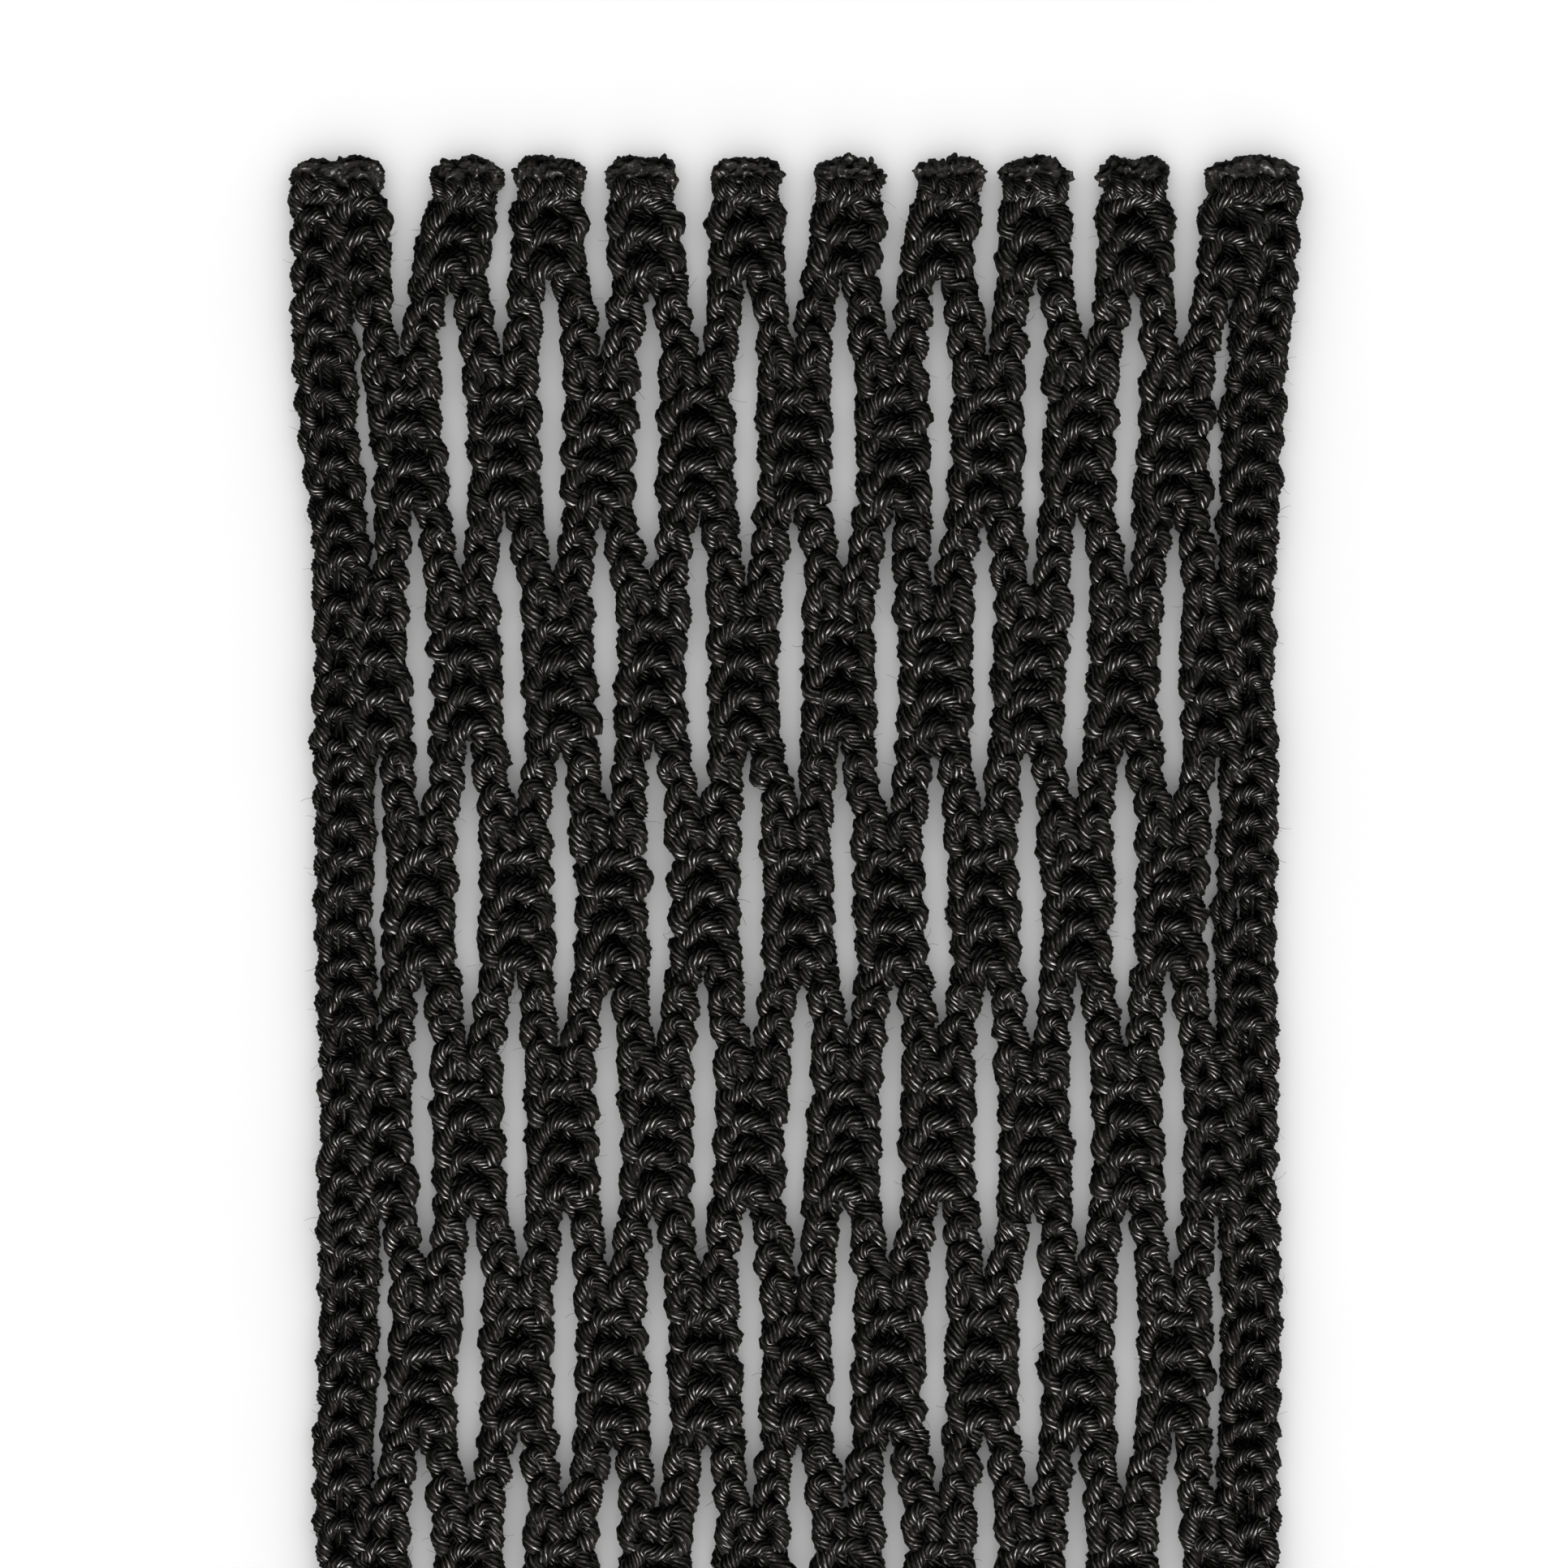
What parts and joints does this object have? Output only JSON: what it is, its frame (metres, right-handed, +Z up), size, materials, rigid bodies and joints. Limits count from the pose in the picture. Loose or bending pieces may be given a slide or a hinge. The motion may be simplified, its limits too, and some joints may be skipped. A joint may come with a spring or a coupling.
{
  "type": "table tennis net netting strip",
  "caption": "Flat strip of black knotless knitted netting for a small sports net, pulled narrow, with firm selvedges and heat-sealed cut ends.",
  "frame": {"origin": "middle of the strip's flat underside", "axes": "+X across the strip from the left selvedge to the right one, +Y along the strip and its legs towards the top cut end, +Z up, out of the face with the lapping yarns"},
  "size_m": [0.043, 0.0856, 0.0016],
  "materials": {
    "leg_yarn": "plied black multifilament yarn, slight sheen",
    "lapping_yarn": "plied black multifilament yarn, slight sheen",
    "selvedge_yarn": "plied black multifilament yarn, slightly fluffed",
    "fused_ends": "rough fused yarn ends, matte with small glints"
  },
  "bodies": {
    "root": {"bottom_sealed_tip_01": "fused_ends", "bottom_sealed_tip_02": "fused_ends", "bottom_sealed_tip_03": "fused_ends", "bottom_sealed_tip_04": "fused_ends", "bottom_sealed_tip_05": "fused_ends", "bottom_sealed_tip_06": "fused_ends", "bottom_sealed_tip_07": "fused_ends", "bottom_sealed_tip_08": "fused_ends", "bottom_sealed_tip_09": "fused_ends", "bottom_sealed_tip_10": "fused_ends", "joint_laps_row_1": "lapping_yarn", "joint_laps_row_2": "lapping_yarn", "joint_laps_row_3": "lapping_yarn", "joint_laps_row_4": "lapping_yarn", "joint_laps_row_5": "lapping_yarn", "joint_laps_row_6": "lapping_yarn", "joint_laps_row_7": "lapping_yarn", "joint_laps_row_8": "lapping_yarn", "joint_laps_row_9": "lapping_yarn", "left_edge_strand": "selvedge_yarn", "left_selvedge_inner_chain": "selvedge_yarn", "left_selvedge_outer_chain": "selvedge_yarn", "leg_chain_01": "leg_yarn", "leg_chain_02": "leg_yarn", "leg_chain_03": "leg_yarn", "leg_chain_04": "leg_yarn", "leg_chain_05": "leg_yarn", "leg_chain_06": "leg_yarn", "leg_chain_07": "leg_yarn", "leg_chain_08": "leg_yarn", "leg_chain_09": "leg_yarn", "leg_chain_10": "leg_yarn", "leg_chain_11": "leg_yarn", "leg_chain_12": "leg_yarn", "leg_chain_13": "leg_yarn", "leg_chain_14": "leg_yarn", "leg_chain_15": "leg_yarn", "leg_chain_16": "leg_yarn", "leg_chain_17": "leg_yarn", "leg_chain_18": "leg_yarn", "right_edge_strand": "selvedge_yarn", "right_selvedge_inner_chain": "selvedge_yarn", "right_selvedge_outer_chain": "selvedge_yarn", "top_sealed_tip_01": "fused_ends", "top_sealed_tip_02": "fused_ends", "top_sealed_tip_03": "fused_ends", "top_sealed_tip_04": "fused_ends", "top_sealed_tip_05": "fused_ends", "top_sealed_tip_06": "fused_ends", "top_sealed_tip_07": "fused_ends", "top_sealed_tip_08": "fused_ends", "top_sealed_tip_09": "fused_ends", "top_sealed_tip_10": "fused_ends"}
  },
  "joints": []
}
